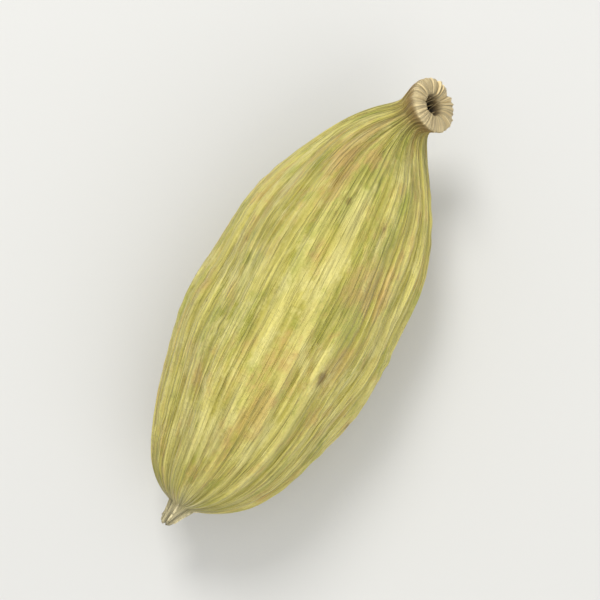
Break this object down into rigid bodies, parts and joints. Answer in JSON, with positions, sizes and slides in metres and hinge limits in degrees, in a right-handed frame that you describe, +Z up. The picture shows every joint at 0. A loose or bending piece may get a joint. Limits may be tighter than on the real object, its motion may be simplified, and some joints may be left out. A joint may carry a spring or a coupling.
{
  "type": "green cardamom pod",
  "caption": "Whole dried green cardamom pod: a three-sided, ribbed spindle with a ring-ended stalk stub and a short beak, lying on its flattest side.",
  "frame": {"origin": "middle of the pod's box in X and Y, on the surface that the pod rests on", "axes": "+X along the pod from its stalk towards its beak, +Z up, with the pod lying on its flattest side"},
  "size_m": [0.0172, 0.007, 0.0063],
  "materials": {
    "husk": "dry papery husk, satin, pale yellow-green"
  },
  "bodies": {
    "root": {"pod": "husk"}
  },
  "joints": []
}
